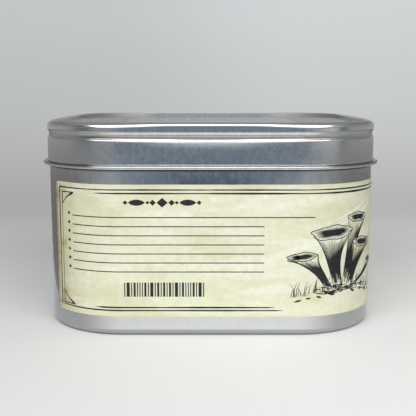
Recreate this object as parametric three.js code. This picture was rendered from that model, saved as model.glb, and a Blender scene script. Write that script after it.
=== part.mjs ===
// A square tin with rounded corners, a slip-on lid and a paper label that wraps three of its sides.
// Millimetres, +Z up. The origin is in the middle of the face that the tin stands on. The tin is drawn from
// one sheet, so it has no side seam, and the lid slips over its wall. The bare side, between the label's
// two ends, faces -X.
import * as THREE from "three";

// The tin as a whole
const LID_WIDTH = 108; // across the lid's wall, both ways
const LID_CORNER = 26.5; // the lid wall's corner radius, seen from above
const TIN_HEIGHT = 66.4; // from the table to the lid's rim
const SHEET = 0.3; // thickness of the tinplate
const SLIP = 0.2; // gap between the lid's wall and the body's, all round

// The lid, from its middle outwards and down
const RIM_WIDTH = 3.0; // from the lid's wall in to the wall of the recessed panel
const PANEL_DEPTH = 1.5; // from the rim down to the panel
const PANEL_BEND = 0.7; // radius at the foot and the head of the panel's wall
const SHOULDER_BEND = 1.1; // radius from the rim over to the lid's wall
const GROOVE_MIDDLE = 62.5; // height of the groove that is rolled into the lid's wall
const GROOVE_HEIGHT = 2.1;
const GROOVE_DEPTH = 0.55;
const LID_BOTTOM = 52.1; // the lowest point of the lid's curled edge
const LID_CURL = 0.9; // outer radius of that curl, which turns outwards and up
const LID_CURL_TURN = 290; // degrees

// The body, from its middle outwards and up
const BASE_RISE = 0.6; // the base panel stands this much clear of the table
const FOOT_WIDTH = 2.4; // the flat ring that the tin stands on
const BASE_STEP = 0.8; // how far the step from that ring up to the base panel reaches inwards
const FOOT_BEND = 2.1; // radius from the ring up to the wall
const BODY_TOP = 61.8; // the body's curled edge, just under the lid's groove
const BODY_CURL = 0.8; // outer radius of that curl, which turns inwards and down
const BODY_CURL_TURN = 270; // degrees

// The label, which is measured along the body's wall from the middle of the -Y side towards +X
const LABEL_END = 53.1; // how far it reaches past the middle of the -Y side, towards the bare side
const LABEL_LOW = 6.3;
const LABEL_HIGH = 47.7;
const LABEL_THICK = 0.15;
const LABEL_GLUE = 0.05; // between the wall and the label
const LABEL_CORNER = 1.7; // radius of the label's own corners

// How finely the round parts are divided
const CORNER_STEPS = 12;
const BEND_STEPS = 3;
const FOOT_STEPS = 4;
const GROOVE_STEPS = 6;
const CURL_STEPS = 8;
const LABEL_CORNER_STEPS = 4;

// Sizes that follow
const BODY_INSET = SHEET + SLIP; // from the lid's outer wall in to the body's
const BODY_HALF = LID_WIDTH / 2 - BODY_INSET;
const BODY_CORNER = LID_CORNER - BODY_INSET;
const HALF_FLAT = LID_WIDTH / 2 - LID_CORNER; // half the straight stretch of a side
const CORNER_LENGTH = (BODY_CORNER * Math.PI) / 2;
const SIDE_LENGTH = 2 * HALF_FLAT + CORNER_LENGTH; // one straight stretch and one corner
const PANEL_RING = 24; // how far in from the lid's wall the flat panels' outer ring of faces starts

const degrees = THREE.MathUtils.degToRad;

// Points of an arc in a section, without its first point. Angles are in degrees, anticlockwise.
function arc(centreX, centreZ, radius, from, to, steps) {
  const points = [];
  for (let i = 1; i <= steps; i++) {
    const angle = degrees(from + ((to - from) * i) / steps);
    points.push(new THREE.Vector2(centreX + radius * Math.cos(angle), centreZ + radius * Math.sin(angle)));
  }
  return points;
}

// One level ring of points round the tin, at an offset outwards from the lid's outer wall.
function ring(offset, z) {
  const outline = new THREE.Path();
  [[1, 1], [-1, 1], [-1, -1], [1, -1]].forEach(([x, y], quarter) => {
    const start = (quarter * Math.PI) / 2;
    outline.absarc(x * HALF_FLAT, y * HALF_FLAT, LID_CORNER + offset, start, start + Math.PI / 2);
  });
  return outline.getPoints(CORNER_STEPS / 2).map((p) => new THREE.Vector3(p.x, p.y, z));
}

// The section of a bent sheet: its middle line, thickened to both sides. It runs out along the left side
// and back along the right.
function sheetSection(middle) {
  const left = [];
  const right = [];
  middle.forEach((point, i) => {
    const before = point.clone().sub(middle[Math.max(i - 1, 0)]).normalize();
    const after = middle[Math.min(i + 1, middle.length - 1)].clone().sub(point).normalize();
    const along = before.clone().add(after).normalize();
    const reach = SHEET / 2 / Math.max(along.dot(i ? before : after), 0.5);
    const side = new THREE.Vector2(-along.y, along.x).multiplyScalar(reach);
    left.push(point.clone().add(side));
    right.unshift(point.clone().sub(side));
  });
  return [...left, ...right];
}

// Faces between rings of points that all have the same number of points, joined end to end.
function wallFaces(rings, size) {
  const faces = [];
  for (let i = 0; i + 1 < rings; i++) {
    for (let j = 0; j < size; j++) {
      const next = (j + 1) % size;
      const [a, b, c, d] = [i * size + j, (i + 1) * size + j, (i + 1) * size + next, i * size + next];
      faces.push(a, b, c, a, c, d);
    }
  }
  return faces;
}

function geometryOf(points, faces) {
  const geometry = new THREE.BufferGeometry().setFromPoints(points);
  geometry.setIndex(faces);
  geometry.computeVertexNormals();
  return geometry;
}

// A sheet part: the section taken all the way round the tin, with its two flat panels closed in the middle.
function drawnSheet(middle) {
  const section = sheetSection(middle);
  const rings = section.map((p) => ring(p.x, p.y));
  const size = rings[0].length;
  const points = rings.flat();
  const faces = wallFaces(rings.length, size);
  const lastRing = (rings.length - 1) * size;
  const firstMiddle = points.push(new THREE.Vector3(0, 0, section[0].y)) - 1;
  const lastMiddle = points.push(new THREE.Vector3(0, 0, section[section.length - 1].y)) - 1;
  for (let j = 0; j < size; j++) {
    const next = (j + 1) % size;
    faces.push(firstMiddle, j, next, lastMiddle, lastRing + next, lastRing + j);
  }
  return geometryOf(points, faces);
}

// The lid's sheet: recessed panel, rim, shoulder, grooved wall and the curl along its lower edge.
function lidGeometry() {
  const half = SHEET / 2;
  const rimZ = TIN_HEIGHT - half;
  const panelZ = rimZ - PANEL_DEPTH;
  const bend = PANEL_BEND - half;
  const shoulder = SHOULDER_BEND - half;
  const curl = LID_CURL - half;
  const wall = -half;
  const grooveBottom = GROOVE_MIDDLE - GROOVE_HEIGHT / 2;
  const groove = [];
  for (let i = 0; i <= GROOVE_STEPS; i++) {
    const share = i / GROOVE_STEPS;
    const depth = (GROOVE_DEPTH * (1 - Math.cos(2 * Math.PI * share))) / 2;
    groove.push(new THREE.Vector2(wall - depth, grooveBottom + GROOVE_HEIGHT * (1 - share)));
  }
  return drawnSheet([
    new THREE.Vector2(-PANEL_RING, panelZ),
    new THREE.Vector2(-RIM_WIDTH - bend, panelZ),
    ...arc(-RIM_WIDTH - bend, panelZ + bend, bend, -90, 0, BEND_STEPS),
    ...arc(-RIM_WIDTH + bend, rimZ - bend, bend, 180, 90, BEND_STEPS),
    new THREE.Vector2(wall - shoulder, rimZ),
    ...arc(wall - shoulder, rimZ - shoulder, shoulder, 90, 0, BEND_STEPS),
    ...groove,
    new THREE.Vector2(wall, LID_BOTTOM + LID_CURL),
    ...arc(wall + curl, LID_BOTTOM + LID_CURL, curl, 180, 180 + LID_CURL_TURN, CURL_STEPS),
  ]);
}

// The body's sheet: base panel, foot ring, wall and the curl along its upper edge.
function bodyGeometry() {
  const half = SHEET / 2;
  const wall = -BODY_INSET - half;
  const foot = FOOT_BEND - half;
  const curl = BODY_CURL - half;
  const ringInner = wall - foot - FOOT_WIDTH;
  return drawnSheet([
    new THREE.Vector2(-PANEL_RING, BASE_RISE + half),
    new THREE.Vector2(ringInner - BASE_STEP, BASE_RISE + half),
    new THREE.Vector2(ringInner, half),
    new THREE.Vector2(wall - foot, half),
    ...arc(wall - foot, foot + half, foot, -90, 0, FOOT_STEPS),
    new THREE.Vector2(wall, BODY_TOP - BODY_CURL),
    ...arc(wall - curl, BODY_TOP - BODY_CURL, curl, 0, BODY_CURL_TURN, CURL_STEPS),
  ]);
}

// A point of the body's wall seen from above: s along the wall from the middle of the -Y side towards +X,
// and a distance out from it.
function wallPoint(s, out) {
  const side = Math.floor((s + HALF_FLAT) / SIDE_LENGTH);
  const along = s + HALF_FLAT - side * SIDE_LENGTH;
  const turned = Math.max(along - 2 * HALF_FLAT, 0) / BODY_CORNER;
  const facing = ((side - 1) * Math.PI) / 2;
  const outward = new THREE.Vector2(Math.cos(facing), Math.sin(facing));
  const onward = new THREE.Vector2(-outward.y, outward.x);
  const normal = new THREE.Vector2(Math.cos(facing + turned), Math.sin(facing + turned));
  const straight = Math.min(along, 2 * HALF_FLAT) - HALF_FLAT;
  return outward.multiplyScalar(HALF_FLAT).addScaledVector(onward, straight)
    .addScaledVector(normal, BODY_CORNER + out);
}

// The label: a thin band on the wall, with a rounded end at each side of the bare stretch.
function labelGeometry() {
  const start = -LABEL_END;
  const end = 2 * SIDE_LENGTH + LABEL_END; // the far end mirrors the near one
  const stations = [];
  for (let corner = -1; corner <= 2; corner++) {
    const cornerStart = HALF_FLAT + corner * SIDE_LENGTH;
    for (let i = 0; i <= CORNER_STEPS; i++) {
      stations.push(cornerStart + (CORNER_LENGTH * i) / CORNER_STEPS);
    }
  }
  const inside = stations.filter((s) => s > start + LABEL_CORNER && s < end - LABEL_CORNER);
  const rounding = [];
  for (let i = 0; i <= LABEL_CORNER_STEPS; i++) {
    const angle = ((Math.PI / 2) * i) / LABEL_CORNER_STEPS;
    rounding.push([LABEL_CORNER * (1 - Math.cos(angle)), LABEL_CORNER * (1 - Math.sin(angle))]);
  }
  const cuts = [
    ...rounding.map(([along, drop]) => [start + along, drop]),
    ...inside.map((s) => [s, 0]),
    ...rounding.reverse().map(([along, drop]) => [end - along, drop]),
  ];
  const size = 4;
  const points = cuts.flatMap(([s, drop]) => {
    const inner = wallPoint(s, LABEL_GLUE);
    const outer = wallPoint(s, LABEL_GLUE + LABEL_THICK);
    const low = LABEL_LOW + drop;
    const high = LABEL_HIGH - drop;
    const corners = [[inner, low], [outer, low], [outer, high], [inner, high]];
    return corners.map(([p, z]) => new THREE.Vector3(p.x, p.y, z));
  });
  const last = points.length - size;
  const ends = [0, 1, 2, 0, 2, 3, last, last + 2, last + 1, last, last + 3, last + 2];
  const faces = [...wallFaces(cuts.length, size), ...ends];
  return geometryOf(points, faces);
}

const tinplate = { color: 0xb9bbbe, roughness: 0.28, metalness: 1 };
const paper = { color: 0xeeebc8, roughness: 0.6, metalness: 0 };

function piece(name, geometry, finish) {
  const mesh = new THREE.Mesh(geometry, new THREE.MeshStandardMaterial(finish));
  mesh.name = name;
  return mesh;
}

const tin = new THREE.Group();
tin.add(
  piece("tin_body", bodyGeometry(), tinplate),
  piece("tin_lid", lidGeometry(), tinplate),
  piece("wrap_label", labelGeometry(), paper),
);

export default tin;
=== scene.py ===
# A square tin with rounded corners, a slip-on lid and a printed paper label, standing on a pale sweep.
# Lengths are millimetres until a mesh is made. On the wall, s runs from the middle of the -Y side to +X.
import math
import random

import bpy
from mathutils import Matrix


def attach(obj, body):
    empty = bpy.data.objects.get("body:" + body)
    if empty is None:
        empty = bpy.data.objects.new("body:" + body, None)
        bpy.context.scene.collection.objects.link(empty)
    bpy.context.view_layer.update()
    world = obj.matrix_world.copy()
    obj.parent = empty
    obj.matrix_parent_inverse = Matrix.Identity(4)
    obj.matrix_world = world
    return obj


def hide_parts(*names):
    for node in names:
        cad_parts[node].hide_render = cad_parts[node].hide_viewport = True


# A millimetre in metres, and a centimetre in millimetres
MM = 0.001
CM = 10.0

# The tin. The names are those of its CAD part, and the bends, the curls and the groove are finer here.
LID_WIDTH = 108.0
LID_CORNER = 26.5
TIN_HEIGHT = 66.4
SHEET = 0.3
SLIP = 0.2
RIM_WIDTH = 3.0
PANEL_DEPTH = 1.5
PANEL_BEND = 0.22
PANEL_RING = 24.0
SHOULDER_BEND = 1.0
GROOVE_TOP = 63.7
GROOVE_DEEP = 62.5
GROOVE_FLAT = 61.6
GROOVE_LOW = 60.4
GROOVE_DEPTH = 0.5
GROOVE_SLANT = 0.11
GROOVE_SKEW = 0.85
LIP_START = 0.7
SKIRT_EASE = 57.6
STEP_TOP = 53.85
STEP_LOW = 53.62
STEP_OUT = 0.035
NOTCH_BEND = 0.08
NOTCH_DROP = 0.12
LID_BOTTOM = 52.38
LID_CURL = 0.6
LID_CURL_OUT = 0.9
LID_CURL_START = 150.0
LID_CURL_END = -190.0
BASE_RISE = 0.6
FOOT_WIDTH = 2.4
BASE_STEP = 0.8
FOOT_BEND = 2.1
BODY_TOP = 61.3
BODY_CURL = 0.8
BODY_CURL_TURN = 270.0
LABEL_END = 53.1
LABEL_LOW = 6.3
LABEL_HIGH = 47.7
LABEL_THICK = 0.15
LABEL_GLUE = 0.05
LABEL_CORNER = 1.7
BODY_INSET = SHEET + SLIP
BODY_CORNER = LID_CORNER - BODY_INSET
HALF_FLAT = LID_WIDTH / 2 - LID_CORNER
CORNER_LENGTH = BODY_CORNER * math.pi / 2
SIDE_LENGTH = 2 * HALF_FLAT + CORNER_LENGTH
PERIMETER = 4 * SIDE_LENGTH
LABEL_START = -LABEL_END
LABEL_FINISH = 2 * SIDE_LENGTH + LABEL_END

# How the lid changes round the tin, by the distance from the middle of a side
SKIRT_LEAN = 0.16
LEAN_REACH = 40.0
LIP_TIGHTER = 0.7
SHOULDER_SOFTER = 0.7
SOFTER_FROM = 10.0
SOFTER_TO = 56.0

# How finely the visual meshes are divided
CORNER_STEPS = 36
FLAT_STEPS = 12
BEND_STEPS = 9
GROOVE_STEPS = 30
SKIRT_STEPS = 8
CURL_STEPS = 26
FLUTE_STEPS = 12
OVAL_STEPS = 72
SUPPORT = 0.15
LONG_RUN = 0.7
SHARP_ANGLE = 50.0

# The print on the label
INK_RISE = 0.02
INK_STEP = 0.7
WORN_STEP = 2.5
WORN_WAVE = 5.2
FRAME_TOP = 46.1
FRAME_TOP_INNER = 45.0
FRAME_LOW = 8.24
FRAME_LOW_INNER = 9.21
FRAME_LEFT = -50.5
FRAME_LEFT_INNER = -49.05
INNER_DROP = 0.3
INNER_LINE_START = -36.1
LOW_LINE_END = 22.6
LOW_INNER_END = 20.1
FAR_LINE_START = 68.0
FAR_INNER_START = 70.5
ORNAMENT_MIDDLE = -14.8
ORNAMENT_HEIGHT = 42.2
ORNAMENT_HALF = 12.0
RULE_LEFT = -46.3
RULE_TOP = 37.6
RULE_GAP = 2.84
RULE_WIDTH = 0.3
RULE_INDENT = 2.2
RULE_MARK = 0.6
RULE_MARK_RISE = 0.55
RULE_ENDS = (32.0, 16.5, 16.5, 16.5, 16.5, 16.5, 16.5)
BARS_MIDDLE = -14.4
BARS_HALF = 12.8
BARS_LOW = 12.7
BARS_HIGH = 17.2
BAR_WIDTHS = (0.33, 0.33, 0.66, 0.33, 0.99, 0.33, 0.66, 0.33)
BAR_GAP = 0.42
CLUSTER_MIDDLE = 41.5
CLUSTER_LOW = 15.0
LITTER_COUNT = 90
GRASS_COUNT = 64
LEAF_COUNT = 9
OVAL_HEIGHT = 26.5
SEED = 7

# The spandrels in the frame's corners: each one's legs along s and up, and what all of them share
SPANDREL_TOP = (5.4, -3.9)
SPANDREL_LOW = (5.2, 4.5)
SPANDREL_INSET = 0.2
SPANDREL_LEVEL = 0.34
SPANDREL_UPRIGHT = 0.26
SPANDREL_HOLLOW = 0.09
SPANDREL_STEPS = 8

# Half the width and half the height of each oval, and its line's width
OVALS = ((19.0, 12.5, 0.45), (17.8, 11.4, 0.22))

# Each frame line's width, the share of it that wanders, and how long its ends taper
TOP_LINE = (0.4, 0.3, 0.0)
TOP_INNER_LINE = (0.5, 0.4, 3.0)
SIDE_LINE = (0.5, 0.2, 0.0)
SIDE_INNER_LINE = (0.24, 0.2, 0.0)
LOW_LINE = (0.42, 0.25, 2.0)
LOW_INNER_LINE = (0.46, 0.3, 3.0)

# The metal's bright tone, a dark tone painted in as shade, and a warm tint painted in as a reflection
STEEL = (0.73, 0.74, 0.75)
PAINTED_SHADE_TONE = (0.16, 0.16, 0.155)
PAINTED_REFLECTION_TINT = (1.0, 0.8, 0.66)

# How much rougher wear makes the metal, and how deep the grain, the sheet's waves and the paper's tooth are
ROUGHER = 0.15
GRAIN_RELIEF = 0.02
SHEET_RELIEF = 0.25
PAPER_RELIEF = 0.03

# The camera, the sweep and the window, in millimetres, degrees and watts
CAMERA_PLACE = (-0.591, -283.123, 76.172)
CAMERA_DOWN = 8.821
CAMERA_LEFT = 0.054
CAMERA_LENS = 65.90
CAMERA_SENSOR = 36.0
FLOOR_FRONT = -116.0
FLOOR_MIDDLE = 60.0
FLOOR_BACK = 190.0
SWEEP_RADIUS = 240.0
SWEEP_END = -17.0
SWEEP_STEPS = 24
SWEEP_PLAN = ((FLOOR_FRONT, 54.0), (0.0, 84.0), (FLOOR_BACK, 136.0), (FLOOR_BACK + SWEEP_RADIUS, 198.0))
WINDOW_PLACE = (0, -500, 500)
WINDOW_TARGET = (0, -40, 40)
WINDOW_SIZE = (1150, 460)
WINDOW_POWER = 5.1
WINDOW_COLOUR = (1.0, 1.0, 0.995)

# The room on the side that the tin's front faces, from its middle out to both sides, below eye level
FRONT_LOW = (
    (0.0, (0.025, 0.045, 0.09)),
    (0.05, (0.035, 0.06, 0.105)),
    (0.09, (0.22, 0.27, 0.31)),
    (0.13, (0.43, 0.47, 0.49)),
    (0.42, (0.39, 0.41, 0.41)),
    (0.65, (0.33, 0.34, 0.335)),
    (0.86, (0.24, 0.24, 0.235)),
    (1.0, (0.14, 0.14, 0.135)),
)
FRONT_HIGH = (
    (0.0, (0.265, 0.33, 0.40)),
    (0.12, (0.12, 0.16, 0.21)),
    (0.3, (0.15, 0.167, 0.18)),
    (0.55, (0.20, 0.208, 0.213)),
    (0.7, (0.215, 0.222, 0.22)),
    (0.85, (0.30, 0.303, 0.298)),
    (1.0, (0.335, 0.34, 0.33)),
)

# The glow above it on that side: its colour from low to high, and its strength from left to right
GLOW_RISE = (
    (0.0, (0.225, 0.26, 0.305)),
    (0.06, (0.36, 0.4, 0.44)),
    (0.13, (0.65, 0.7, 0.74)),
    (0.2, (0.85, 0.88, 0.9)),
    (0.42, (1.0, 1.0, 1.0)),
    (0.8, (0.31, 0.31, 0.305)),
)
GLOW_REACH = (
    (0.0, 0.25), (0.05, 0.19), (0.1, 0.2), (0.165, 0.3),
    (0.25, 0.4), (0.35, 0.57), (0.44, 0.7), (0.5, 1.0),
    (0.55, 0.8), (0.63, 0.55), (0.75, 0.55), (0.8, 0.62),
    (0.875, 0.75), (0.925, 0.58), (0.96, 0.38), (1.0, 0.31),
)


# Points of an arc in a section, without its first point. Angles are in degrees, anticlockwise.
def arc(centre_x, centre_z, radius, start, end, steps):
    points = []
    for i in range(1, steps + 1):
        angle = math.radians(start + (end - start) * i / steps)
        points.append((centre_x + radius * math.cos(angle), centre_z + radius * math.sin(angle)))
    return points


# The point at a share of the way from one point to another
def along_line(start, end, share):
    return start[0] + (end[0] - start[0]) * share, start[1] + (end[1] - start[1]) * share


def distance(start, end):
    return math.hypot(end[0] - start[0], end[1] - start[1])


def direction(start, end):
    length = distance(start, end)
    return (end[0] - start[0]) / length, (end[1] - start[1]) / length


# Extra points close to both ends of each long straight run, so that smooth shading stays in the bends
def supported(path):
    points = [path[0]]
    for (ax, az), (bx, bz) in zip(path, path[1:]):
        length = math.hypot(bx - ax, bz - az)
        if length > LONG_RUN:
            share = SUPPORT / length
            points.append((ax + (bx - ax) * share, az + (bz - az) * share))
            points.append((bx - (bx - ax) * share, bz - (bz - az) * share))
        points.append((bx, bz))
    return points


# A bent sheet's section: its middle line thickened to both sides, out along the left and back on the right
def sheet_section(middle):
    left = []
    right = []
    last = len(middle) - 1
    for i, (x, z) in enumerate(middle):
        before = middle[max(i - 1, 0)]
        after = middle[min(i + 1, last)]
        ahead = direction((x, z), after) if i < last else direction(before, (x, z))
        behind = direction(before, (x, z)) if i else ahead
        along = direction((0, 0), (ahead[0] + behind[0], ahead[1] + behind[1]))
        reach = SHEET / 2 / max(along[0] * ahead[0] + along[1] * ahead[1], 0.5)
        left.append((x - along[1] * reach, z + along[0] * reach))
        right.append((x + along[1] * reach, z - along[0] * reach))
    return left + right[::-1]


# A point seen from above: s along the body's wall, and a distance out from that wall
def wall_point(s, out):
    side = math.floor((s + HALF_FLAT) / SIDE_LENGTH)
    along = s + HALF_FLAT - side * SIDE_LENGTH
    turned = max(along - 2 * HALF_FLAT, 0) / BODY_CORNER
    facing = (side - 1) * math.pi / 2
    straight = min(along, 2 * HALF_FLAT) - HALF_FLAT
    reach = BODY_CORNER + out
    x = HALF_FLAT * math.cos(facing) - straight * math.sin(facing) + reach * math.cos(facing + turned)
    y = HALF_FLAT * math.sin(facing) + straight * math.cos(facing) + reach * math.sin(facing + turned)
    return x, y


# The places round the tin that have a section
def wall_stations():
    flat = 2 * HALF_FLAT
    near_end = SUPPORT * 3
    stations = []
    for side in range(4):
        start = side * SIDE_LENGTH - HALF_FLAT
        stations += [start, start + near_end]
        stations += [start + flat * i / FLAT_STEPS for i in range(1, FLAT_STEPS)]
        stations += [start + flat - near_end]
        stations += [start + flat + CORNER_LENGTH * i / CORNER_STEPS for i in range(CORNER_STEPS)]
    return stations


STATIONS = wall_stations()


# A mesh in the scene, with a pair of Wrap coordinates for each corner of each face
def mesh_object(name, points, faces, corners, material):
    mesh = bpy.data.meshes.new(name)
    mesh.from_pydata([(x * MM, y * MM, z * MM) for x, y, z in points], [], faces)
    layer = mesh.uv_layers.new(name="Wrap")
    flat = [value for face in corners for pair in face for value in pair]
    layer.data.foreach_set("uv", flat)
    mesh.shade_smooth()
    mesh.set_sharp_from_angle(angle=math.radians(SHARP_ANGLE))
    mesh.materials.append(material)
    mesh.update()
    obj = bpy.data.objects.new(name, mesh)
    bpy.context.scene.collection.objects.link(obj)
    return obj


# A sheet part: its section at each place round the tin, with its two flat panels closed in the middle.
# Its Wrap coordinates are s along the wall and the distance along the section, in centimetres.
def drawn_sheet(name, middle_at, material):
    sections = [sheet_section(supported(middle_at(s))) for s in STATIONS]
    section = sections[0]
    size = len(STATIONS)
    points = []
    for ring in zip(*sections):
        points += [(*wall_point(s, offset + BODY_INSET), z) for s, (offset, z) in zip(STATIONS, ring)]
    runs = [0.0]
    for start, end in zip(section, section[1:]):
        runs.append(runs[-1] + distance(start, end))
    faces = []
    corners = []
    for i in range(len(section) - 1):
        low, high = runs[i] / CM, runs[i + 1] / CM
        for j in range(size):
            k = (j + 1) % size
            near = STATIONS[j] / CM
            far = (STATIONS[k] if k else STATIONS[0] + PERIMETER) / CM
            faces.append((i * size + j, (i + 1) * size + j, (i + 1) * size + k, i * size + k))
            corners.append(((near, low), (near, high), (far, high), (far, low)))
    for first, z, turn in ((0, section[0][1], 1), ((len(section) - 1) * size, section[-1][1], -1)):
        points.append((0.0, 0.0, z))
        for j in range(size):
            k = (j + 1) % size
            face = (len(points) - 1, first + j, first + k)[::turn]
            faces.append(face)
            corners.append([(points[p][0] / CM, points[p][1] / CM) for p in face])
    return mesh_object(name, points, faces, corners, material)


# How far in the lid's wall stands at a height: the groove, whose lip starts at low, and under it the skirt,
# which leans in up to the lip
def groove_depth(z, lean, low):
    if z >= GROOVE_DEEP:
        share = min((GROOVE_TOP - z) / (GROOVE_TOP - GROOVE_DEEP), 1.0)
        return GROOVE_DEPTH * (1 - math.cos(math.pi * share ** GROOVE_SKEW)) / 2
    deep = GROOVE_DEPTH - GROOVE_SLANT
    if z >= GROOVE_FLAT:
        return deep + GROOVE_SLANT * (z - GROOVE_FLAT) / (GROOVE_DEEP - GROOVE_FLAT)
    if z <= low:
        return lean * max((z - SKIRT_EASE) / (low - SKIRT_EASE), 0.0) ** 2
    share = (z - low) / (GROOVE_FLAT - low)
    rise = LIP_START * share * (1 - share) ** 2 + share ** 2 * (3 - 2 * share)
    return lean + (deep - lean) * rise


# The groove and the skirt under it, down the lid's wall
def groove_line(wall, lean, low):
    heights = [GROOVE_TOP + (low - GROOVE_TOP) * i / GROOVE_STEPS for i in range(GROOVE_STEPS + 1)]
    heights += [low + (SKIRT_EASE - low) * i / SKIRT_STEPS for i in range(1, SKIRT_STEPS + 1)]
    return [(wall - groove_depth(z, lean, low), z) for z in heights]


# The small step outwards over the lid's lower curl
def step_line(wall):
    points = []
    for i in range(BEND_STEPS + 1):
        out = STEP_OUT * (1 - math.cos(math.pi * i / BEND_STEPS)) / 2
        points.append((wall + out, STEP_TOP + (STEP_LOW - STEP_TOP) * i / BEND_STEPS))
    return points


# The lid's middle line at s. Its skirt leans in most in the middle of a side, where the wall gives most, the
# groove's lip is tightest in a corner, and the shoulder is bent softest where a side turns into a corner.
def lid_middle(s):
    from_middle = abs((s + SIDE_LENGTH / 2) % SIDE_LENGTH - SIDE_LENGTH / 2)
    give = math.cos(math.pi / 2 * min(from_middle / LEAN_REACH, 1.0)) ** 2
    near_bend = max(from_middle - SOFTER_FROM, 0.0) / (SOFTER_TO - SOFTER_FROM)
    softer = 1 + SHOULDER_SOFTER * math.sin(math.pi * near_bend) ** 2
    half = SHEET / 2
    wall = -half
    rim_z = TIN_HEIGHT - half
    panel_z = rim_z - PANEL_DEPTH
    bend = PANEL_BEND - half
    shoulder = SHOULDER_BEND * softer - half
    curl = LID_CURL - half
    curl_z = LID_BOTTOM + LID_CURL
    start = math.radians(LID_CURL_START)
    notch_z = curl_z + curl * math.sin(start) - NOTCH_DROP
    return [
        (-PANEL_RING, panel_z),
        (-RIM_WIDTH - bend, panel_z),
        *arc(-RIM_WIDTH - bend, panel_z + bend, bend, -90, 0, BEND_STEPS),
        *arc(-RIM_WIDTH + bend, rim_z - bend, bend, 180, 90, BEND_STEPS),
        (wall - shoulder, rim_z),
        *arc(wall - shoulder, rim_z - shoulder, shoulder, 90, 0, BEND_STEPS),
        *groove_line(wall, SKIRT_LEAN * give, GROOVE_LOW + LIP_TIGHTER * (1 - give)),
        *step_line(wall),
        *arc(wall + STEP_OUT + NOTCH_BEND, notch_z + NOTCH_BEND, NOTCH_BEND, 180, 270, BEND_STEPS),
        (LID_CURL_OUT + curl * math.cos(start), curl_z + curl * math.sin(start)),
        *arc(LID_CURL_OUT, curl_z, curl, LID_CURL_START, LID_CURL_END, CURL_STEPS),
    ]


# The body's middle line, the same at every s
def body_middle(s):
    half = SHEET / 2
    wall = -BODY_INSET - half
    foot = FOOT_BEND - half
    curl = BODY_CURL - half
    ring_inner = wall - foot - FOOT_WIDTH
    return [
        (-PANEL_RING, BASE_RISE + half),
        (ring_inner - BASE_STEP, BASE_RISE + half),
        (ring_inner, half),
        (wall - foot, half),
        *arc(wall - foot, foot + half, foot, -90, 0, BEND_STEPS),
        (wall, BODY_TOP - BODY_CURL),
        *arc(wall - curl, BODY_TOP - BODY_CURL, curl, 0, BODY_CURL_TURN, CURL_STEPS),
    ]


# The label: a thin closed band with rounded ends. Its Wrap coordinates are s and height in centimetres.
def label_object(material):
    rounding = []
    for i in range(BEND_STEPS + 1):
        angle = math.pi / 2 * i / BEND_STEPS
        rounding.append((LABEL_CORNER * (1 - math.cos(angle)), LABEL_CORNER * (1 - math.sin(angle))))
    cuts = [(LABEL_START + along, drop) for along, drop in rounding]
    for s in STATIONS + [s - PERIMETER for s in STATIONS]:
        if LABEL_START + LABEL_CORNER < s < LABEL_FINISH - LABEL_CORNER:
            cuts.append((s, 0.0))
    cuts += [(LABEL_FINISH - along, drop) for along, drop in rounding]
    cuts.sort()
    points = []
    marks = []
    for s, drop in cuts:
        low, high = LABEL_LOW + drop, LABEL_HIGH - drop
        for out, z in ((0, low), (LABEL_THICK, low), (LABEL_THICK, high), (0, high)):
            points.append((*wall_point(s, LABEL_GLUE + out), z))
            marks.append((s / CM, z / CM))
    faces = []
    for i in range(len(cuts) - 1):
        for j in range(4):
            k = (j + 1) % 4
            faces.append((4 * i + j, 4 * i + 4 + j, 4 * i + 4 + k, 4 * i + k))
    last = 4 * (len(cuts) - 1)
    faces += [(0, 1, 2, 3), (last + 3, last + 2, last + 1, last)]
    corners = [[marks[p] for p in face] for face in faces]
    return mesh_object("label_sheet", points, faces, corners, material)


# The print: ribbons of ink that follow the label's face
class Print:
    def __init__(self):
        self.points = []
        self.faces = []
        self.marks = []

    # A strip along a path, with a width for each of its points
    def ribbon(self, path, widths):
        path, widths = resample(path, widths)
        out = LABEL_GLUE + LABEL_THICK + INK_RISE
        first = len(self.points)
        last = len(path) - 1
        for i, ((s, z), width) in enumerate(zip(path, widths)):
            along = direction(path[max(i - 1, 0)], path[min(i + 1, last)])
            for turn in (1, -1):
                edge_s = s - along[1] * width / 2 * turn
                edge_z = z + along[0] * width / 2 * turn
                self.points.append((*wall_point(edge_s, out), edge_z))
                self.marks.append((edge_s / CM, edge_z / CM))
        for i in range(last):
            a = first + 2 * i
            self.faces.append((a, a + 1, a + 3, a + 2))

    def line(self, start, end, width):
        self.ribbon([start, end], [width, width])

    # A stroke that swells in its middle and tapers to both tips
    def swelled(self, path, width, tip=0.06):
        path, _ = resample(path, [width] * len(path))
        last = max(len(path) - 1, 1)
        swell = [max(math.sin(math.pi * i / last), 0.0) ** 0.7 for i in range(len(path))]
        self.ribbon(path, [tip + (width - tip) * share for share in swell])

    # A stroke that starts full and runs out to a point
    def tapered(self, path, width, tip=0.05):
        last = len(path) - 1
        self.ribbon(path, [width + (tip - width) * i / last for i in range(len(path))])

    # A leaf, filled, from one tip to the other
    def leaf(self, start, end, width):
        shares = [i / 8 for i in range(9)]
        path = [along_line(start, end, share) for share in shares]
        self.ribbon(path, [max(width * math.sin(math.pi * share), 0.04) for share in shares])

    def lozenge(self, s, z, half_wide, half_high):
        self.ribbon([(s - half_wide, z), (s, z), (s + half_wide, z)], [0.02, 2 * half_high, 0.02])

    def finish(self, name, material):
        corners = [[self.marks[p] for p in face] for face in self.faces]
        return mesh_object(name, self.points, self.faces, corners, material)


# The same path with points at most INK_STEP apart, and the widths carried along
def resample(path, widths):
    new_path = [path[0]]
    new_widths = [widths[0]]
    for a, b, width_a, width_b in zip(path, path[1:], widths, widths[1:]):
        count = max(1, math.ceil(distance(a, b) / INK_STEP))
        for i in range(1, count + 1):
            share = i / count
            new_path.append(along_line(a, b, share))
            new_widths.append(width_a + (width_b - width_a) * share)
    return new_path, new_widths


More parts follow.
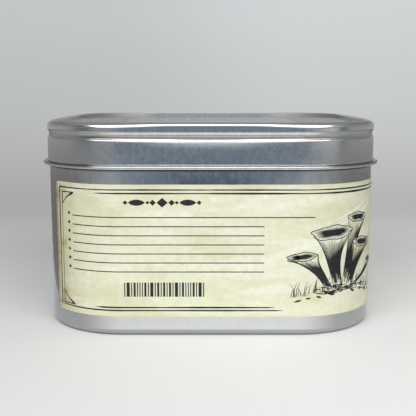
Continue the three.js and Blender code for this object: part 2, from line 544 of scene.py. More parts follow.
# A frame line whose weight wanders like a worn rule
def worn_line(sheet, start, end, weight, dice):
    width, wander, taper = weight
    length = distance(start, end)
    count = max(2, round(length / WORN_STEP))
    path = []
    widths = []
    phase = dice.uniform(0, 6)
    for i in range(count + 1):
        share = i / count
        path.append(along_line(start, end, share))
        swell = math.sin(phase + share * length / WORN_WAVE) * 0.6 + dice.uniform(-0.4, 0.4)
        near_end = min(share, 1 - share) * length
        ease = min(1.0, 0.15 + near_end / taper) if taper else 1.0
        widths.append(width * (1 + wander * swell) * ease)
    sheet.ribbon(path, widths)


# The spandrel in a corner of the frame: two short legs and a hollow curve between their tips
def spandrel(sheet, s, z, leg_s, leg_z):
    sheet.line((s, z), (s + leg_s, z), SPANDREL_LEVEL)
    sheet.line((s, z), (s, z + leg_z), SPANDREL_UPRIGHT)
    path = []
    widths = []
    for i in range(SPANDREL_STEPS + 1):
        share = i / SPANDREL_STEPS
        hollow = math.sin(math.pi * share) * SPANDREL_HOLLOW
        path.append((s + leg_s * (1 - share - hollow), z + leg_z * (share - hollow)))
        widths.append(SPANDREL_UPRIGHT + 0.75 * (1 - share) ** 3)
    widths[0] = 0.1
    sheet.ribbon(path, widths)


# One end of the frame, with place(s) to put it there: mirrored where sign is -1
def frame_end(sheet, dice, place, sign):
    left, left_inner = place(FRAME_LEFT), place(FRAME_LEFT_INNER)
    high, low = FRAME_TOP_INNER - INNER_DROP, FRAME_LOW_INNER - INNER_DROP
    inner_start, inner_end = place(INNER_LINE_START), place(LOW_INNER_END)
    worn_line(sheet, (left, FRAME_TOP), (left, FRAME_LOW), SIDE_LINE, dice)
    worn_line(sheet, (left_inner, high), (left_inner, low), SIDE_INNER_LINE, dice)
    worn_line(sheet, (left, FRAME_LOW), (place(LOW_LINE_END), FRAME_LOW), LOW_LINE, dice)
    worn_line(sheet, (inner_start, FRAME_LOW_INNER), (inner_end, FRAME_LOW_INNER), LOW_INNER_LINE, dice)
    spandrel(sheet, place(FRAME_LEFT_INNER + SPANDREL_INSET), high, sign * SPANDREL_TOP[0], SPANDREL_TOP[1])
    spandrel(sheet, left_inner, low, sign * SPANDREL_LOW[0], SPANDREL_LOW[1])


# The frame's double lines. The low ones stop for the cluster and go on after it.
def frame_lines(sheet, dice):
    far = LABEL_START + LABEL_FINISH
    inner_start = (INNER_LINE_START, FRAME_TOP_INNER)
    inner_end = (far - INNER_LINE_START, FRAME_TOP_INNER)
    worn_line(sheet, (FRAME_LEFT, FRAME_TOP), (far - FRAME_LEFT, FRAME_TOP), TOP_LINE, dice)
    worn_line(sheet, inner_start, inner_end, TOP_INNER_LINE, dice)
    frame_end(sheet, dice, lambda s: s, 1)
    frame_end(sheet, dice, lambda s: far - s, -1)
    inner_start = (FAR_INNER_START, FRAME_LOW_INNER)
    inner_end = (far - LOW_INNER_END, FRAME_LOW_INNER)
    worn_line(sheet, (FAR_LINE_START, FRAME_LOW), (far - LOW_LINE_END, FRAME_LOW), LOW_LINE, dice)
    worn_line(sheet, inner_start, inner_end, LOW_INNER_LINE, dice)


# A row of ornament: a lozenge between swelled rules and smaller lozenges
def ornament(sheet, middle, z, half):
    sheet.lozenge(middle, z, 1.7, 1.5)
    for sign in (-1, 1):
        sheet.lozenge(middle + sign * 2.9, z, 1.0, 0.95)
        sheet.lozenge(middle + sign * 4.5, z, 0.6, 0.55)
        sheet.swelled([(middle + sign * 5.3, z), (middle + sign * (half - 1.6), z)], 1.9, 0.1)
        sheet.lozenge(middle + sign * (half - 0.7), z, 0.75, 0.7)


# Ruled lines to write on, each with a lozenge before it
def ruled_lines(sheet, left, top, ends):
    for row, end in enumerate(ends):
        z = top - row * RULE_GAP
        sheet.lozenge(left + RULE_MARK, z + RULE_MARK_RISE, RULE_MARK, RULE_MARK)
        sheet.line((left + RULE_INDENT, z), (end, z), RULE_WIDTH)


# A panel of upright bars, the same from its left and its right
def bars(sheet, middle, half, low, high):
    place = 0.0
    row = 0
    while place < half:
        width = BAR_WIDTHS[row % len(BAR_WIDTHS)]
        for sign in (-1, 1):
            at = middle + sign * (place + width / 2)
            sheet.line((at, low), (at, high), width)
        place += width + BAR_GAP
        row += 1


# One trumpet-shaped mushroom: a fluted funnel on a thin foot, drawn in strokes like an engraving
class Trumpet:
    def __init__(self, foot, lip, foot_half, lip_half, bow, tilt):
        self.foot = foot
        self.lip = lip
        self.foot_half = foot_half
        self.lip_half = lip_half
        self.bow = bow
        self.tilt = tilt
        self.lip_deep = lip_half * 0.3

    # The middle of the funnel, from t = 0 at the foot to 1 at the lip
    def centre(self, t):
        s, z = along_line(self.foot, self.lip, t)
        return s + self.bow * math.sin(math.pi * t), z

    # Half the funnel's width at t
    def half(self, t):
        return self.foot_half + (self.lip_half - self.foot_half) * (0.22 * t + 0.78 * t ** 3.6)

    # A point of the wavy lip at an angle from the right, anticlockwise
    def rim(self, angle, scale=1.0):
        wave = 1 + 0.07 * math.sin(5 * angle + self.tilt * 9) + 0.04 * math.sin(9 * angle + 1.3)
        s = self.lip_half * math.cos(angle) * wave * scale
        z = self.lip_deep * math.sin(angle) * wave * scale + self.tilt * s
        return self.lip[0] + s, self.lip[1] + z

    # A line up the outside, at u from -1 on the left to 1 on the right
    def flute(self, u, start, end):
        rim_s, rim_z = self.rim(-math.acos(max(-1.0, min(1.0, u))))
        lip_s, lip_z = self.centre(1.0)
        drift_s = rim_s - (lip_s + u * self.half(1.0))
        drift_z = rim_z - lip_z
        path = []
        for i in range(FLUTE_STEPS + 1):
            t = start + (end - start) * i / FLUTE_STEPS
            s, z = self.centre(t)
            blend = t ** 5
            path.append((s + u * self.half(t) + drift_s * blend, z + drift_z * blend))
        return path

    def outline(self):
        left = self.flute(-1.0, 0.0, 1.0)
        right = self.flute(1.0, 0.0, 1.0)
        upper = [self.rim(math.pi * i / 16) for i in range(17)]
        return left + upper[::-1] + right[::-1]

    # Each stroke's path and width, and the way it is drawn: flutes up the outside, both edges, the lip, and
    # spokes that darken the mouth
    def strokes(self, dice):
        lines = []
        count = max(9, round(self.lip_half * 4.2))
        for i in range(count):
            u = -0.97 + 1.94 * i / (count - 1)
            shade = 0.25 + 0.75 * (0.5 + 0.5 * u) ** 1.4
            shade = max(shade, abs(u) ** 6)
            start = dice.uniform(0.0, 0.25)
            end = dice.uniform(0.86, 1.0)
            lines.append((self.flute(u, start, end), 0.1 + 0.24 * shade, "taper" if i % 2 else "swell"))
        lines.append((self.flute(-1.0, 0.0, 1.0), 0.22, "plain"))
        lines.append((self.flute(1.0, 0.0, 1.0), 0.34, "plain"))
        rim = [self.rim(2 * math.pi * i / 40) for i in range(41)]
        lines.append((rim, 0.26, "plain"))
        spokes = round(self.lip_half * 7)
        for i in range(spokes):
            angle = 2 * math.pi * i / spokes
            outer = self.rim(angle, dice.uniform(0.8, 0.94))
            inner = self.rim(angle + 0.1, 0.0)
            gap = distance(self.rim(angle, 0.75), self.rim(angle + 2 * math.pi / spokes, 0.75))
            lines.append(([inner, outer], min(0.95 * gap, 0.5), "taper"))
        return lines


# Whether a point lies inside a polygon
def inside(point, polygon):
    x, y = point
    hit = False
    for (ax, ay), (bx, by) in zip(polygon, polygon[1:] + polygon[:1]):
        if (ay > y) != (by > y) and x < (bx - ax) * (y - ay) / (by - ay) + ax:
            hit = not hit
    return hit


# The stretches of a path that no shape in front covers
def uncovered(path, shapes):
    path, _ = resample(path, [0.0] * len(path))
    pieces = []
    piece = []
    for point in path:
        if any(inside(point, shape) for shape in shapes):
            if len(piece) > 1:
                pieces.append(piece)
            piece = []
        else:
            piece.append(point)
    if len(piece) > 1:
        pieces.append(piece)
    return pieces


# A stroke, only where no shape in front covers it
def draw(sheet, path, width, way, shapes):
    for piece in uncovered(path, shapes):
        if way == "plain":
            sheet.ribbon(piece, [width] * len(piece))
        elif way == "taper":
            sheet.tapered(piece, width)
        else:
            sheet.swelled(piece, width)


# A cluster of trumpet mushrooms, front ones first, with grass and leaf litter at its foot. Each has its foot
# and lip, half their widths, its bow and its lip's tilt.
def cluster(sheet, middle, low, dice):
    trumpets = [
        Trumpet((middle - 1.0, low + 0.2), (middle - 3.2, low + 17.5), 1.5, 7.2, -0.8, 0.05),
        Trumpet((middle + 3.4, low + 0.4), (middle + 10.6, low + 13.2), 1.2, 5.4, -0.9, -0.10),
        Trumpet((middle - 4.6, low + 0.0), (middle - 13.4, low + 10.2), 1.0, 4.6, 1.0, 0.12),
        Trumpet((middle + 1.6, low + 1.0), (middle + 7.4, low + 21.6), 1.1, 4.9, -0.6, -0.05),
        Trumpet((middle + 5.6, low + 0.2), (middle + 17.2, low + 6.4), 0.8, 3.0, 0.9, -0.16),
    ]
    shapes = []
    for trumpet in trumpets:
        for path, width, way in trumpet.strokes(dice):
            draw(sheet, path, width, way, shapes)
        shapes.append(trumpet.outline())
    for _ in range(LITTER_COUNT):
        s = middle + dice.triangular(-15, 18)
        z = low + dice.uniform(-1.4, 0.9) - 0.01 * (s - middle) ** 2
        tip = (s + dice.uniform(1.0, 3.2), z + dice.uniform(-0.25, 0.2))
        sheet.swelled([(s, z), tip], dice.uniform(0.16, 0.4))
    for _ in range(GRASS_COUNT):
        s = middle + dice.uniform(-17, 18)
        z = low - 0.5 - 0.008 * (s - middle) ** 2
        lean = dice.uniform(-1.8, 1.8)
        tall = dice.uniform(1.6, 5.2)
        path = [(s, z), (s + lean * 0.25, z + tall * 0.55), (s + lean, z + tall)]
        for piece in uncovered(path, shapes):
            sheet.tapered(piece, dice.uniform(0.18, 0.34))
    for i in range(LEAF_COUNT):
        s = middle - 16 + i * 4 + dice.uniform(-1, 1)
        z = low - 1.6 - 0.01 * (s - middle) ** 2
        tip = (s + dice.uniform(1.8, 2.8), z + dice.uniform(-0.5, 0.7))
        sheet.leaf((s, z), tip, dice.uniform(0.5, 0.8))


# A sprig: a bent stem with pairs of leaves
def sprig(sheet, start, end, bow, pairs, leaf_long):
    along = direction(start, end)
    across = (-along[1], along[0])
    length = distance(start, end)

    def place(t):
        lift = bow * math.sin(math.pi * t)
        s = start[0] + along[0] * length * t + across[0] * lift
        return s, start[1] + along[1] * length * t + across[1] * lift

    sheet.tapered([place(i / 12) for i in range(13)], 0.28, 0.12)
    for i in range(1, pairs + 1):
        t = i / (pairs + 0.4)
        s, z = place(t)
        size = leaf_long * (1.1 - 0.5 * t)
        for turn in (-1, 1):
            tip_s = s + (along[0] * 0.75 + across[0] * 0.8 * turn) * size
            tip_z = z + (along[1] * 0.75 + across[1] * 0.8 * turn) * size
            sheet.leaf((s, z), (tip_s, tip_z), size * 0.32)
    s, z = place(1.0)
    tip = (s + along[0] * leaf_long * 0.6, z + along[1] * leaf_long * 0.6)
    sheet.leaf((s, z), tip, leaf_long * 0.2)


# A plain oval with a sprig on both sides, for the side that faces away
def cartouche(sheet, middle, z):
    for half_s, half_z, width in OVALS:
        oval = []
        for i in range(OVAL_STEPS + 1):
            angle = 2 * math.pi * i / OVAL_STEPS
            oval.append((middle + half_s * math.cos(angle), z + half_z * math.sin(angle)))
        sheet.ribbon(oval, [width] * len(oval))
    for sign in (-1, 1):
        foot = (middle + sign * 1.0, z - 14.6)
        tip = (middle + sign * 23.5, z + 3.0)
        sprig(sheet, foot, tip, bow=-6.0 * sign, pairs=12, leaf_long=3.2)
    ornament(sheet, middle, z + 15.3, 9.0)
    ornament(sheet, middle, z, 13.0)


# A material's nodes, or the room's. Most methods add some and give back their output. A colour is given as
# such an output or as three numbers.
class Nodes:
    def __init__(self, owner):
        owner.use_nodes = True
        self.tree = owner.node_tree
        self.tree.nodes.clear()

    def add(self, kind, settings=None, **inputs):
        node = self.tree.nodes.new(kind)
        for key, value in (settings or {}).items():
            setattr(node, key, value)
        for key, value in inputs.items():
            self.put(node, key.replace("_", " "), value)
        return node

    def put(self, node, key, value):
        socket = node.inputs[key]
        if isinstance(value, bpy.types.NodeSocket):
            self.tree.links.new(value, socket)
        else:
            socket.default_value = value

    def math(self, operation, first, second=0.0):
        node = self.add("ShaderNodeMath", {"operation": operation})
        self.put(node, 0, first)
        self.put(node, 1, second)
        return node.outputs[0]

    def sum(self, first, second):
        return self.math("ADD", first, second)

    def product(self, first, second):
        return self.math("MULTIPLY", first, second)

    def most(self, first, *others):
        for other in others:
            first = self.math("MAXIMUM", first, other)
        return first

    def axes(self, vector):
        return self.add("ShaderNodeSeparateXYZ", Vector=vector).outputs

    # A smooth step from one level to another while the value goes from low to high
    def span(self, value, low, high, to_low=0.0, to_high=1.0):
        node = self.add("ShaderNodeMapRange", {"interpolation_type": "SMOOTHSTEP"}, Value=value)
        for key, number in (("From Min", low), ("From Max", high), ("To Min", to_low), ("To Max", to_high)):
            node.inputs[key].default_value = number
        return node.outputs["Result"]

    # A rise to a level between the first two places, and a fall back to nothing between the last two
    def band(self, value, start, full, fading, end, level=1.0):
        rise = self.span(value, start, full, 0.0, level)
        return self.product(rise, self.span(value, fading, end, 1.0, 0.0))

    def mix(self, share, first, second, blend="MIX"):
        node = self.add("ShaderNodeMix", {"data_type": "RGBA", "blend_type": blend, "clamp_factor": True})
        self.put(node, 0, share)
        for key, colour in ((6, first), (7, second)):
            self.put(node, key, colour if isinstance(colour, bpy.types.NodeSocket) else (*colour, 1.0))
        return node.outputs[2]

    # Colours one over the other along a value, each given as (where it starts, where it is full, colour)
    def layers(self, value, colour, others):
        for start, full, other in others:
            colour = self.mix(self.span(value, start, full), colour, other)
        return colour

    # A smooth run of colours, given as (place, (red, green, blue)) pairs
    def ramp(self, value, stops):
        node = self.add("ShaderNodeValToRGB", Fac=value)
        node.color_ramp.interpolation = "EASE"
        elements = node.color_ramp.elements
        while len(elements) < len(stops):
            elements.new(1.0)
        for element, (place, colour) in zip(elements, stops):
            element.position = place
            element.color = (*colour, 1.0)
        return node.outputs[0]

    def noise(self, vector, detail, roughness, scale=1.0):
        node = self.add("ShaderNodeTexNoise", Vector=vector, Scale=scale, Detail=detail, Roughness=roughness)
        return node.outputs[0]

    # The Wrap coordinates in millimetres, turned by an angle, stretched by a factor each way and shifted
    def wrap(self, along=1.0, up=1.0, turn=0.0, shift=(0.0, 0.0)):
        coordinates = self.add("ShaderNodeUVMap", {"uv_map": "Wrap"}).outputs[0]
        turned = self.add("ShaderNodeMapping", Vector=coordinates)
        self.put(turned, "Rotation", (0.0, 0.0, math.radians(-turn)))
        mapping = self.add("ShaderNodeMapping", Vector=turned.outputs[0])
        self.put(mapping, "Location", (*shift, 0.0))
        self.put(mapping, "Scale", (along * CM, up * CM, 1.0))
        return mapping.outputs[0]

    # The distance along the wall from the middle of the nearest side
    def from_middle(self):
        return self.math("PINGPONG", self.axes(self.wrap())[0], SIDE_LENGTH / 2)

    def place(self):
        return self.add("ShaderNodeTexCoord").outputs["Object"]

    # The height over the table in millimetres
    def height(self):
        return self.product(self.axes(self.place())[2], 1 / MM)

    # How far a face looks outwards: the level part of its place, in millimetres, along its normal
    def outward(self):
        level = self.add("ShaderNodeVectorMath", {"operation": "MULTIPLY"})
        self.put(level, 0, self.place())
        self.put(level, 1, (1 / MM, 1 / MM, 0.0))
        along = self.add("ShaderNodeVectorMath", {"operation": "DOT_PRODUCT"})
        self.put(along, 0, level.outputs[0])
        self.put(along, 1, self.add("ShaderNodeNewGeometry").outputs["Normal"])
        return along.outputs["Value"]

    def bump(self, strength, height):
        return self.add("ShaderNodeBump", Strength=strength, Distance=MM, Height=height).outputs[0]

    # The finished surface, from the settings and inputs of its shader
    def surface(self, settings=None, **inputs):
        shader = self.add("ShaderNodeBsdfPrincipled", settings, **inputs)
        self.add("ShaderNodeOutputMaterial", Surface=shader.outputs[0])


# A screen colour, from 0 to 255, as linear light
def srgb(*colour):
    values = []
    for value in colour:
        value /= 255
        values.append(value / 12.92 if value <= 0.04045 else ((value + 0.055) / 1.055) ** 2.4)
    return tuple(values)


# Bright drawn tinplate, with a grain, a soft mottle and a slightly uneven sheet. The function passed in
# gives the shares of it that are darkened by painted shade, rougher, tinted warm by a painted reflection,
# and free of the grain.
def tinplate(name, shade_and_roughness, roughness, grain_size, grain_share):
    material = bpy.data.materials.new(name)
    nodes = Nodes(material)
    grain = nodes.noise(nodes.wrap(*grain_size), 4.0, 0.6)
    mottle = nodes.noise(nodes.wrap(0.5, 0.33), 4.0, 0.6)
    both = nodes.sum(nodes.product(grain, grain_share), nodes.product(mottle, 1.0 - grain_share))
    dark = tuple(value * 0.9 for value in STEEL)
    light = tuple(min(value * 1.08, 1.0) for value in STEEL)
    colour = nodes.mix(nodes.span(both, 0.36, 0.66), dark, light)
    painted_shade, rougher, painted_warm_reflection, even = shade_and_roughness(nodes)
    colour = nodes.mix(even, colour, STEEL)
    # Painted shade, then a painted warm reflection, over the metal's colour
    colour = nodes.mix(painted_shade, colour, PAINTED_SHADE_TONE)
    colour = nodes.mix(painted_warm_reflection, colour, PAINTED_REFLECTION_TINT, "MULTIPLY")
    rough = nodes.span(both, 0.3, 0.7, roughness * 0.85, roughness * 1.25)
    rough = nodes.sum(rough, nodes.product(rougher, ROUGHER))
    sheet = nodes.noise(nodes.wrap(0.05, 0.03), 2.0, 0.5)
    fine = nodes.product(both, nodes.product(nodes.math("SUBTRACT", 1.0, even), GRAIN_RELIEF))
    relief = nodes.bump(0.25, nodes.sum(fine, nodes.product(sheet, SHEET_RELIEF)))
    tangent = nodes.add("ShaderNodeTangent", {"direction_type": "UV_MAP", "uv_map": "Wrap"}).outputs[0]
    nodes.surface({"distribution": "GGX"}, Base_Color=colour, Metallic=1.0, Roughness=rough,
                  Anisotropic=0.5, Normal=relief, Tangent=tangent)
    return material


# Where painted shade darkens the body: round its foot, low on its corners and in a painted shadow line just
# under the lid. Its foot is also rougher.
def body_painted_shade_and_roughness(nodes):
    z = nodes.height()
    # Painted shade round the foot and low on the corners
    foot = nodes.span(z, 1.7, 2.4, 0.5, 0.0)
    in_corner = nodes.span(nodes.from_middle(), 27.0, 42.0, 0.0, 0.5)
    corner = nodes.product(in_corner, nodes.span(z, 8.0, 14.0, 1.0, 0.0))
    # A painted shadow line under the lid's curl
    line = nodes.band(z, 51.5, 51.9, 52.3, 52.6, 0.85)
    even = nodes.span(z, 5.0, 12.0, 0.7, 0.2)
    return nodes.most(foot, corner, line), foot, 0.0, even


# Where painted shade darkens the lid: on its panel, its rim and the wall between them, in its groove and in
# the notch over its curl. A painted warm reflection tints the groove along each side and, faintly, the rim's
# inner wall, and the rim's inner wall is rougher in the corners.
def lid_painted_shade_and_roughness(nodes):
    z = nodes.height()
    outward = nodes.outward()
    from_middle = nodes.from_middle()
    high = nodes.span(z, 64.2, 64.6)
    # Painted shade on the panel, the rim and the rim's inner wall
    top = nodes.product(nodes.span(outward, 5.0, 25.0, 0.3, 0.0), high)
    inner = nodes.product(nodes.span(outward, -40.0, -15.0, 1.0, 0.0), high)
    # Painted shade and a painted warm reflection in the groove
    groove = nodes.band(z, 61.3, 61.6, 62.15, 62.3)
    warm_groove_reflection = nodes.product(groove, nodes.span(from_middle, 28.0, 40.0, 1.0, 0.0))
    painted_warm_reflection = nodes.most(warm_groove_reflection, nodes.product(inner, 0.12))
    groove = nodes.product(groove, nodes.span(from_middle, 30.0, 46.0, 0.4, 0.2))
    # Painted shade in the notch over the curl
    notch = nodes.band(z, 53.14, 53.24, 53.54, 53.6, 0.95)
    notch = nodes.product(notch, nodes.span(outward, 30.0, 50.0, 1.0, 0.9))
    bend = nodes.product(inner, nodes.span(from_middle, 20.0, 32.0, -0.6, 1.8))
    rougher = nodes.sum(nodes.product(top, 2.0), bend)
    even = nodes.most(high, nodes.span(from_middle, 26.0, 36.0, 0.0, 0.8))
    return nodes.most(top, notch, groove), rougher, painted_warm_reflection, even


# Aged cream paper: patches of tan, pale wisps and rays, a fine tooth, and brown stains at its left end
def parchment():
    material = bpy.data.materials.new("label_paper")
    nodes = Nodes(material)
    s, z, _ = nodes.axes(nodes.wrap())
    cream = srgb(238, 240, 217)
    tan = srgb(213, 207, 166)
    pale = srgb(250, 251, 240)
    brown = srgb(138, 108, 70)
    patches = nodes.noise(nodes.wrap(0.035, 0.06), 5.0, 0.65)
    wisps = nodes.noise(nodes.wrap(0.03, 0.16, 3.0, (3.0, 1.0)), 4.0, 0.55)
    rays = nodes.noise(nodes.wrap(0.012, 0.42, 19.0, (1.0, 4.0)), 2.0, 0.5)
    mottle = nodes.noise(nodes.wrap(0.45, 0.45, 0.0, (5.0, 3.0)), 4.0, 0.7)
    tooth = nodes.noise(nodes.wrap(1.9, 1.9), 3.0, 0.7)
    blots = nodes.noise(nodes.wrap(0.13, 0.22, 0.0, (2.0, 6.0)), 5.0, 0.7)
    specks = nodes.noise(nodes.wrap(0.6, 0.6, 0.0, (7.0, 2.0)), 5.0, 0.75)

    colour = nodes.mix(nodes.span(patches, 0.42, 0.70, 0.0, 0.65), cream, tan)
    colour = nodes.mix(nodes.span(wisps, 0.5, 0.66, 0.0, 0.7), colour, pale)
    ray_share = nodes.product(nodes.span(rays, 0.5, 0.6), nodes.span(s, 4.0, 30.0, 0.0, 0.95))
    ray_share = nodes.product(ray_share, nodes.span(z, 16.0, 32.0, 0.2, 1.0))
    colour = nodes.mix(ray_share, colour, pale)
    colour = nodes.mix(nodes.span(mottle, 0.35, 0.68, 0.0, 0.28), colour, tan)
    colour = nodes.mix(nodes.span(tooth, 0.3, 0.7, 0.26, 0.0), colour, tan, "MULTIPLY")
    # Darker towards its left end
    colour = nodes.mix(nodes.span(s, -51.5, -38.0, 0.42, 0.0), colour, tan, "MULTIPLY")
    margin = nodes.product(nodes.span(s, -52.8, -51.4, 0.8, 0.15), nodes.span(mottle, 0.3, 0.6, 0.6, 1.0))
    colour = nodes.mix(nodes.product(margin, nodes.span(s, -50.9, -50.0, 1.0, 0.0)), colour, brown)
    stain = nodes.product(nodes.span(blots, 0.48, 0.7), nodes.span(s, -52.5, -43.0, 0.9, 0.0))
    colour = nodes.mix(stain, colour, brown)
    edge_high = nodes.span(z, LABEL_HIGH - 1.6, LABEL_HIGH, 0.0, 0.3)
    edge_low = nodes.span(z, LABEL_LOW, LABEL_LOW + 1.6, 0.3, 0.0)
    colour = nodes.mix(nodes.sum(edge_high, edge_low), colour, tan)
    colour = nodes.mix(nodes.span(specks, 0.66, 0.76, 0.0, 0.6), colour, brown)
    relief = nodes.bump(0.15, nodes.product(tooth, PAPER_RELIEF))
    nodes.surface(Base_Color=colour, Roughness=0.62, Normal=relief)
    return material


# Printing ink, slightly uneven in its black
def printing_ink():
    material = bpy.data.materials.new("label_ink")
    nodes = Nodes(material)
    cover = nodes.noise(nodes.wrap(1.4, 1.4), 3.0, 0.6)
    colour = nodes.mix(nodes.span(cover, 0.4, 0.75), srgb(16, 16, 20), srgb(46, 46, 50))
    nodes.surface(Base_Color=colour, Roughness=0.55)
    return material


# The pale sweep under and behind the tin, a little darker with painted shade in its bend and on its left,
# and lighter with painted light on its right
def sweep_paper():
    material = bpy.data.materials.new("sweep_paper")
    nodes = Nodes(material)
    place = nodes.place()
    x, y, z = nodes.axes(place)
    # Painted shade along the sweep, darkest in its bend
    shade = nodes.ramp(nodes.span(nodes.sum(y, z), -0.2, 0.6), (
        (0.0, (1.0, 1.0, 1.0)),
        (0.16, (1.0, 1.0, 1.0)),
        (0.3, (0.92, 0.92, 0.91)),
        (0.6, (0.77, 0.77, 0.755)),
        (0.93, (0.86, 0.875, 0.88)),
        (1.0, (0.89, 0.905, 0.915)),
    ))
    # Painted shade on the left, painted light on the right
    side = nodes.mix(nodes.span(x, -0.1, 0.1), (0.94, 0.94, 0.94), (1.08, 1.08, 1.08))
    blotch = nodes.noise(place, 2.0, 0.5, 2.0)
    colour = nodes.mix(nodes.span(blotch, 0.3, 0.7), srgb(236, 237, 237), srgb(240, 241, 241))
    colour = nodes.mix(1.0, colour, shade, "MULTIPLY")
    colour = nodes.mix(1.0, colour, side, "MULTIPLY")
    nodes.surface(Base_Color=colour, Roughness=0.7)
    return material


# The sweep: a floor that widens towards the back and bends up into a wall
def sweep(material):
    profile = [(y, 0.0) for y in (FLOOR_FRONT, -FLOOR_MIDDLE, FLOOR_MIDDLE, FLOOR_BACK)]
    profile += arc(FLOOR_BACK, SWEEP_RADIUS, SWEEP_RADIUS, -90, SWEEP_END, SWEEP_STEPS)
    points = []
    for y, z in profile:
        half = between(y, SWEEP_PLAN)
        points += [(-half, y, z), (half, y, z)]
    faces = [(2 * i, 2 * i + 1, 2 * i + 3, 2 * i + 2) for i in range(len(profile) - 1)]
    corners = [[(points[p][0] / CM, points[p][1] / CM) for p in face] for face in faces]
    obj = mesh_object("sweep", points, faces, corners, material)


# The value at a place, on straight lines between the given (place, value) pairs
def between(place, pairs):
    for (a, first), (b, second) in zip(pairs, pairs[1:]):
        if place <= b:
            return first + (second - first) * (place - a) / (b - a)
    return pairs[-1][1]


# A rectangular lamp that shines towards a target
def soft_light(name, place, target, size, power, colour):
    data = bpy.data.lights.new(name, "AREA")
    data.shape = "RECTANGLE"
    data.size, data.size_y = size[0] * MM, size[1] * MM
    data.energy = power
    data.color = colour
    obj = bpy.data.objects.new(name, data)
    bpy.context.scene.collection.objects.link(obj)
    obj.location = [value * MM for value in place]
    x, y, z = (b - a for a, b in zip(place, target))
    obj.rotation_euler = (math.atan2(math.hypot(x, y), -z), 0.0, math.atan2(-x, y))


# The light from the side that the tin's front faces: the floor, the room below eye level, a narrow strip
# that is bright on its left and its right, and the glow above
def front_light(nodes, x, z, aside):
    right = nodes.band(x, 0.1, 0.75, 0.8, 0.93, 0.62)
    left = nodes.band(x, -0.8, -0.66, -0.3, -0.14, 0.2)
    strip = nodes.mix(nodes.sum(right, left), (0.155, 0.188, 0.242), (1.5, 1.54, 1.56))
    shaded = nodes.sum(nodes.span(x, -0.8, -0.7, 1.0, 0.0), nodes.span(x, 0.83, 0.93))
    strip = nodes.mix(shaded, strip, (0.03, 0.035, 0.04))
    across = nodes.product(nodes.sum(x, 1.0), 0.5)
    reach = nodes.ramp(across, [(place, (share, share, share)) for place, share in GLOW_REACH])
    glow = nodes.ramp(z, GLOW_RISE)
    glow = nodes.mix(nodes.span(z, 0.05, 0.18), glow, nodes.mix(1.0, glow, reach, "MULTIPLY"))
    glow = nodes.mix(nodes.span(aside, 0.3, 0.7, 0.0, 0.25), glow, (0.0, 0.0, 0.0))
    return nodes.layers(z, (0.52, 0.52, 0.49), (
        (-0.32, -0.2, nodes.ramp(aside, FRONT_LOW)),
        (-0.12, -0.08, nodes.ramp(aside, FRONT_HIGH)),
        (-0.06, -0.05, strip),
        (-0.04, 0.0, glow),
    ))


# The light from behind the tin: greys from the floor up
def back_light(nodes, z, aside):
    lit = nodes.mix(nodes.span(aside, 0.6, 0.85), (0.45, 0.45, 0.44), (0.32, 0.32, 0.315))
    return nodes.layers(z, (0.33, 0.33, 0.32), (
        (-0.32, -0.2, (0.17, 0.17, 0.165)),
        (-0.12, -0.08, (0.28, 0.28, 0.275)),
        (-0.064, -0.054, (0.46, 0.46, 0.445)),
        (-0.048, -0.03, (0.27, 0.27, 0.265)),
        (0.01, 0.03, lit),
        (0.05, 0.3, (0.22, 0.22, 0.215)),
        (0.5, 0.85, (0.31, 0.31, 0.305)),
    ))


# The room's light, by direction
def room():
    world = bpy.data.worlds.new("room")
    bpy.context.scene.world = world
    nodes = Nodes(world)
    x, y, z = nodes.axes(nodes.add("ShaderNodeTexCoord").outputs["Generated"])
    aside = nodes.math("ABSOLUTE", x)
    to_front = nodes.span(y, -0.4, -0.1, 1.0, 0.0)
    colour = nodes.mix(to_front, back_light(nodes, z, aside), front_light(nodes, x, z, aside))
    background = nodes.add("ShaderNodeBackground", Color=colour, Strength=1.0)
    nodes.add("ShaderNodeOutputWorld", Surface=background.outputs[0])


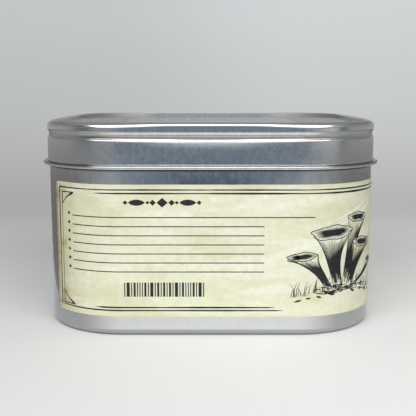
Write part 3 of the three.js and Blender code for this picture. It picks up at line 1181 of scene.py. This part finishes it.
def camera():
    data = bpy.data.cameras.new("camera")
    data.lens = CAMERA_LENS
    data.sensor_width = CAMERA_SENSOR
    data.clip_start = 0.01
    data.clip_end = 20.0
    obj = bpy.data.objects.new("camera", data)
    bpy.context.scene.collection.objects.link(obj)
    obj.location = [value * MM for value in CAMERA_PLACE]
    obj.rotation_euler = (math.radians(90 - CAMERA_DOWN), 0.0, math.radians(CAMERA_LEFT))
    bpy.context.scene.camera = obj


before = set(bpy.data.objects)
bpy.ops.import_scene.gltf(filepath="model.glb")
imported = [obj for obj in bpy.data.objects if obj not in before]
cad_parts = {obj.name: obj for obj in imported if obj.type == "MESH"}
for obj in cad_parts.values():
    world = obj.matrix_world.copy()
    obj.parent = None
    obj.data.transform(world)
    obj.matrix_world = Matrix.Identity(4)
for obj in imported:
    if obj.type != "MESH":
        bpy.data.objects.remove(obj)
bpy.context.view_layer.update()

body_metal = tinplate("tin_body_sheet", body_painted_shade_and_roughness, roughness=0.14, grain_size=(2.6, 0.35), grain_share=0.35)
lid_metal = tinplate("tin_lid_sheet", lid_painted_shade_and_roughness, roughness=0.16, grain_size=(1.4, 0.9), grain_share=0.45)
body = drawn_sheet("body_sheet", body_middle, body_metal)
lid = drawn_sheet("lid_sheet", lid_middle, lid_metal)
label = label_object(parchment())

dice = random.Random(SEED)
sheet = Print()
frame_lines(sheet, dice)
ornament(sheet, ORNAMENT_MIDDLE, ORNAMENT_HEIGHT, ORNAMENT_HALF)
ruled_lines(sheet, RULE_LEFT, RULE_TOP, RULE_ENDS)
bars(sheet, BARS_MIDDLE, BARS_HALF, BARS_LOW, BARS_HIGH)
cluster(sheet, CLUSTER_MIDDLE, CLUSTER_LOW, dice)
cartouche(sheet, 2 * SIDE_LENGTH, OVAL_HEIGHT)
ink = sheet.finish("label_print", printing_ink())

for piece, node, slot in (
    (body, "tin_body", "tinplate_body"),
    (lid, "tin_lid", "tinplate_lid"),
    (label, "wrap_label", "label_paper"),
    (ink, None, "label_paper"),
):
    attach(piece, "root")
    if node:
        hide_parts(node)

sweep(sweep_paper())
soft_light("window", WINDOW_PLACE, WINDOW_TARGET, WINDOW_SIZE, WINDOW_POWER, WINDOW_COLOUR)
room()
camera()
bpy.context.scene.view_settings.view_transform = "Standard"
